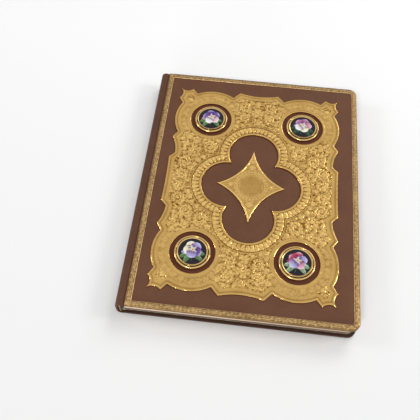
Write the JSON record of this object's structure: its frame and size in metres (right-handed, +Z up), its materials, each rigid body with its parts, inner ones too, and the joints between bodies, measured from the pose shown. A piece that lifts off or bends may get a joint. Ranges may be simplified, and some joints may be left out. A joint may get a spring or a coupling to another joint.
{
  "type": "blank book",
  "caption": "Leather-bound blank book with a chased gilt plate, enamel medallions and a raised gilt border on its front cover, both covers hinged to the page block.",
  "frame": {"origin": "centre of the bounding box at the level of the surface that the book lies on", "axes": "+X from the spine to the fore edge, +Y from tail to head, +Z up through the front cover"},
  "size_m": [0.237, 0.3, 0.0276],
  "materials": {
    "brown_leather": "satin, fine smooth grain",
    "gilt_leather": "embossed, dull gold foil",
    "gilt_brass": "chased, satin gilt",
    "polished_gilt_brass": "polished gilt",
    "enamel": "gloss, painted flowers",
    "gilt_edged_paper": "matte sheets with gilt edges",
    "endpaper": "matte",
    "silk": "worked silk",
    "lining_cloth": "open gauze",
    "board": "grey pressed board"
  },
  "bodies": {
    "text_block": {"pages": "gilt_edged_paper", "front_flyleaf": "endpaper", "back_flyleaf": "endpaper", "head_band": "silk", "tail_band": "silk", "spine_lining": "lining_cloth", "spine_inlay": "board", "spine_leather": "brown_leather"},
    "front_cover": {"front_board": "board", "front_leather": "brown_leather", "front_pastedown": "endpaper", "gilt_border": "gilt_leather", "gold_plate": "gilt_brass", "star_plate": "gilt_brass", "bezel_head_left": "polished_gilt_brass", "bezel_head_right": "polished_gilt_brass", "bezel_tail_left": "polished_gilt_brass", "bezel_tail_right": "polished_gilt_brass", "enamel_head_left": "enamel", "enamel_head_right": "enamel", "enamel_tail_left": "enamel", "enamel_tail_right": "enamel"},
    "back_cover": {"back_board": "board", "back_leather": "brown_leather", "back_pastedown": "endpaper"}
  },
  "joints": [
    {"name": "front_hinge", "type": "hinge", "parent": "text_block", "child": "front_cover", "pos_m": [-0.1099, 0, 0.0241], "axis": [0, -1, 0], "range_deg": [0, 180]},
    {"name": "back_hinge", "type": "hinge", "parent": "text_block", "child": "back_cover", "pos_m": [-0.1099, 0, -0.0003], "axis": [0, 1, 0], "range_deg": [0, 180]}
  ]
}
